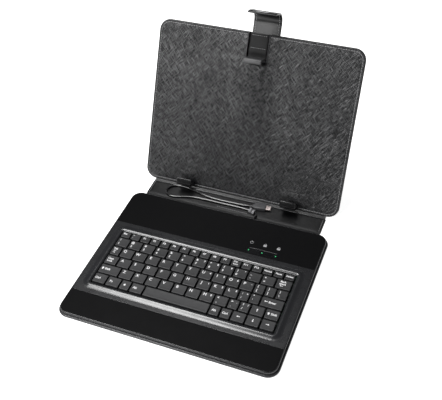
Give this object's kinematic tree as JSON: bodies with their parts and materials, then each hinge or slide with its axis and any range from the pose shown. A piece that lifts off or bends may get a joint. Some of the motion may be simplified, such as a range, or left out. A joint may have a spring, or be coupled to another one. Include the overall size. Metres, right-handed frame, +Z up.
{
  "type": "tablet keyboard case",
  "caption": "Black folding leatherette tablet case with a built-in keyboard, spring-loaded holder, closing strap and short USB cable, shown open.",
  "frame": {"origin": "centre of the base's underside, on the surface it stands on", "axes": "+X to the typist's right, +Y from the typist towards the fold and the lid, +Z up"},
  "size_m": [0.26, 0.3468, 0.22],
  "materials": {
    "outer_leather": "pebbled satin",
    "lining": "cross-hatched satin",
    "board": "matt",
    "grey_plastic": "satin",
    "black_plastic": "fine matt",
    "key_plastic": "fine satin",
    "window": "gloss",
    "green_light": "gloss",
    "steel": "satin",
    "cable_rubber": "satin",
    "tie_rubber": "matt",
    "dome_rubber": "matt",
    "circuit": "satin"
  },
  "bodies": {
    "base": {"base_cover": "outer_leather", "base_board": "board", "tray_shell": "black_plastic", "tray_frame": "grey_plastic", "palm_panel": "black_plastic", "rear_panel": "black_plastic", "light_window": "window", "status_lights": "green_light", "contact_sheet": "circuit", "dome_sheet": "dome_rubber", "circuit_board": "circuit", "tray_screws": "steel", "cable_bushing": "cable_rubber", "strap_plate": "steel"},
    "spine": {"spine_cover": "outer_leather", "spine_board": "board", "spine_lining": "lining", "usb_cable": "cable_rubber", "plug_body": "cable_rubber", "plug_shell": "steel", "cable_tie": "tie_rubber"},
    "lid": {"lid_cover": "outer_leather", "lid_board": "board", "lid_lining": "lining", "clip_left": "black_plastic", "clip_right": "black_plastic", "clip_rivets": "steel", "hook_guide": "black_plastic", "hook_springs": "steel", "strap_anchor": "outer_leather"},
    "hook": {"hook_slider": "black_plastic", "hook_leather": "outer_leather", "hook_lip": "grey_plastic"},
    "strap_lower": {"strap_rear": "outer_leather"},
    "strap_end": {"strap_front": "outer_leather", "strap_magnet": "steel"},
    "leg": {"leg_board": "outer_leather"},
    "key_space_body": {"key_space": "key_plastic"},
    "key_enter_body": {"key_enter": "key_plastic"},
    "key_backspace_body": {"key_backspace": "key_plastic"},
    "key_tab_body": {"key_tab": "key_plastic"},
    "key_caps_body": {"key_caps": "key_plastic"},
    "key_shift_left_body": {"key_shift_left": "key_plastic"},
    "key_shift_right_body": {"key_shift_right": "key_plastic"},
    "key_escape_body": {"key_escape": "key_plastic"},
    "key_up_body": {"key_up": "key_plastic"},
    "key_left_body": {"key_left": "key_plastic"},
    "key_down_body": {"key_down": "key_plastic"},
    "key_right_body": {"key_right": "key_plastic"},
    "key_ctrl_left_body": {"key_ctrl_left": "key_plastic"},
    "key_fn_body": {"key_fn": "key_plastic"},
    "key_menu_body": {"key_menu": "key_plastic"},
    "key_alt_left_body": {"key_alt_left": "key_plastic"},
    "key_alt_right_body": {"key_alt_right": "key_plastic"},
    "key_ctrl_right_body": {"key_ctrl_right": "key_plastic"},
    "row_function": {"keys_function": "key_plastic"},
    "row_number": {"keys_number": "key_plastic"},
    "row_upper": {"keys_upper": "key_plastic"},
    "row_home": {"keys_home": "key_plastic"},
    "row_lower": {"keys_lower": "key_plastic"}
  },
  "joints": [
    {"name": "base_fold", "type": "hinge", "parent": "base", "child": "spine", "pos_m": [0, 0.1062, 0.0013], "axis": [1, 0, 0], "range_deg": [0, 90]},
    {"name": "lid_fold", "type": "hinge", "parent": "spine", "child": "lid", "pos_m": [0, 0.1336, 0.0013], "axis": [1, 0, 0], "range_deg": [-62, 28]},
    {"name": "leg_fold", "type": "hinge", "parent": "lid", "child": "leg", "pos_m": [0, 0.19094, 0.09842], "axis": [1, 0, 0], "range_deg": [-47, 0]},
    {"name": "hook_slide", "type": "slide", "parent": "lid", "child": "hook", "axis": [0, -0.4695, -0.8829], "range_m": [-0.018, 0], "stiffness_N_per_m": 60},
    {"name": "strap_fold", "type": "hinge", "parent": "lid", "child": "strap_lower", "pos_m": [0, 0.23598, 0.18376], "axis": [1, 0, 0], "range_deg": [-25, 90]},
    {"name": "strap_bend", "type": "hinge", "parent": "strap_lower", "child": "strap_end", "pos_m": [0, 0.2421, 0.20338], "axis": [1, 0, 0], "range_deg": [-60, 0]},
    {"name": "press_space", "type": "slide", "parent": "base", "child": "key_space_body", "axis": [0, 0, -1], "range_m": [0, 0.0014], "stiffness_N_per_m": 300},
    {"name": "press_enter", "type": "slide", "parent": "base", "child": "key_enter_body", "axis": [0, 0, -1], "range_m": [0, 0.0014], "stiffness_N_per_m": 300},
    {"name": "press_backspace", "type": "slide", "parent": "base", "child": "key_backspace_body", "axis": [0, 0, -1], "range_m": [0, 0.0014], "stiffness_N_per_m": 300},
    {"name": "press_tab", "type": "slide", "parent": "base", "child": "key_tab_body", "axis": [0, 0, -1], "range_m": [0, 0.0014], "stiffness_N_per_m": 300},
    {"name": "press_caps", "type": "slide", "parent": "base", "child": "key_caps_body", "axis": [0, 0, -1], "range_m": [0, 0.0014], "stiffness_N_per_m": 300},
    {"name": "press_shift_left", "type": "slide", "parent": "base", "child": "key_shift_left_body", "axis": [0, 0, -1], "range_m": [0, 0.0014], "stiffness_N_per_m": 300},
    {"name": "press_shift_right", "type": "slide", "parent": "base", "child": "key_shift_right_body", "axis": [0, 0, -1], "range_m": [0, 0.0014], "stiffness_N_per_m": 300},
    {"name": "press_escape", "type": "slide", "parent": "base", "child": "key_escape_body", "axis": [0, 0, -1], "range_m": [0, 0.0014], "stiffness_N_per_m": 300},
    {"name": "press_up", "type": "slide", "parent": "base", "child": "key_up_body", "axis": [0, 0, -1], "range_m": [0, 0.0014], "stiffness_N_per_m": 300},
    {"name": "press_left", "type": "slide", "parent": "base", "child": "key_left_body", "axis": [0, 0, -1], "range_m": [0, 0.0014], "stiffness_N_per_m": 300},
    {"name": "press_down", "type": "slide", "parent": "base", "child": "key_down_body", "axis": [0, 0, -1], "range_m": [0, 0.0014], "stiffness_N_per_m": 300},
    {"name": "press_right", "type": "slide", "parent": "base", "child": "key_right_body", "axis": [0, 0, -1], "range_m": [0, 0.0014], "stiffness_N_per_m": 300},
    {"name": "press_ctrl_left", "type": "slide", "parent": "base", "child": "key_ctrl_left_body", "axis": [0, 0, -1], "range_m": [0, 0.0014], "stiffness_N_per_m": 300},
    {"name": "press_fn", "type": "slide", "parent": "base", "child": "key_fn_body", "axis": [0, 0, -1], "range_m": [0, 0.0014], "stiffness_N_per_m": 300},
    {"name": "press_menu", "type": "slide", "parent": "base", "child": "key_menu_body", "axis": [0, 0, -1], "range_m": [0, 0.0014], "stiffness_N_per_m": 300},
    {"name": "press_alt_left", "type": "slide", "parent": "base", "child": "key_alt_left_body", "axis": [0, 0, -1], "range_m": [0, 0.0014], "stiffness_N_per_m": 300},
    {"name": "press_alt_right", "type": "slide", "parent": "base", "child": "key_alt_right_body", "axis": [0, 0, -1], "range_m": [0, 0.0014], "stiffness_N_per_m": 300},
    {"name": "press_ctrl_right", "type": "slide", "parent": "base", "child": "key_ctrl_right_body", "axis": [0, 0, -1], "range_m": [0, 0.0014], "stiffness_N_per_m": 300},
    {"name": "press_row_function", "type": "slide", "parent": "base", "child": "row_function", "axis": [0, 0, -1], "range_m": [0, 0.0014], "stiffness_N_per_m": 300},
    {"name": "press_row_number", "type": "slide", "parent": "base", "child": "row_number", "axis": [0, 0, -1], "range_m": [0, 0.0014], "stiffness_N_per_m": 300},
    {"name": "press_row_upper", "type": "slide", "parent": "base", "child": "row_upper", "axis": [0, 0, -1], "range_m": [0, 0.0014], "stiffness_N_per_m": 300},
    {"name": "press_row_home", "type": "slide", "parent": "base", "child": "row_home", "axis": [0, 0, -1], "range_m": [0, 0.0014], "stiffness_N_per_m": 300},
    {"name": "press_row_lower", "type": "slide", "parent": "base", "child": "row_lower", "axis": [0, 0, -1], "range_m": [0, 0.0014], "stiffness_N_per_m": 300}
  ]
}
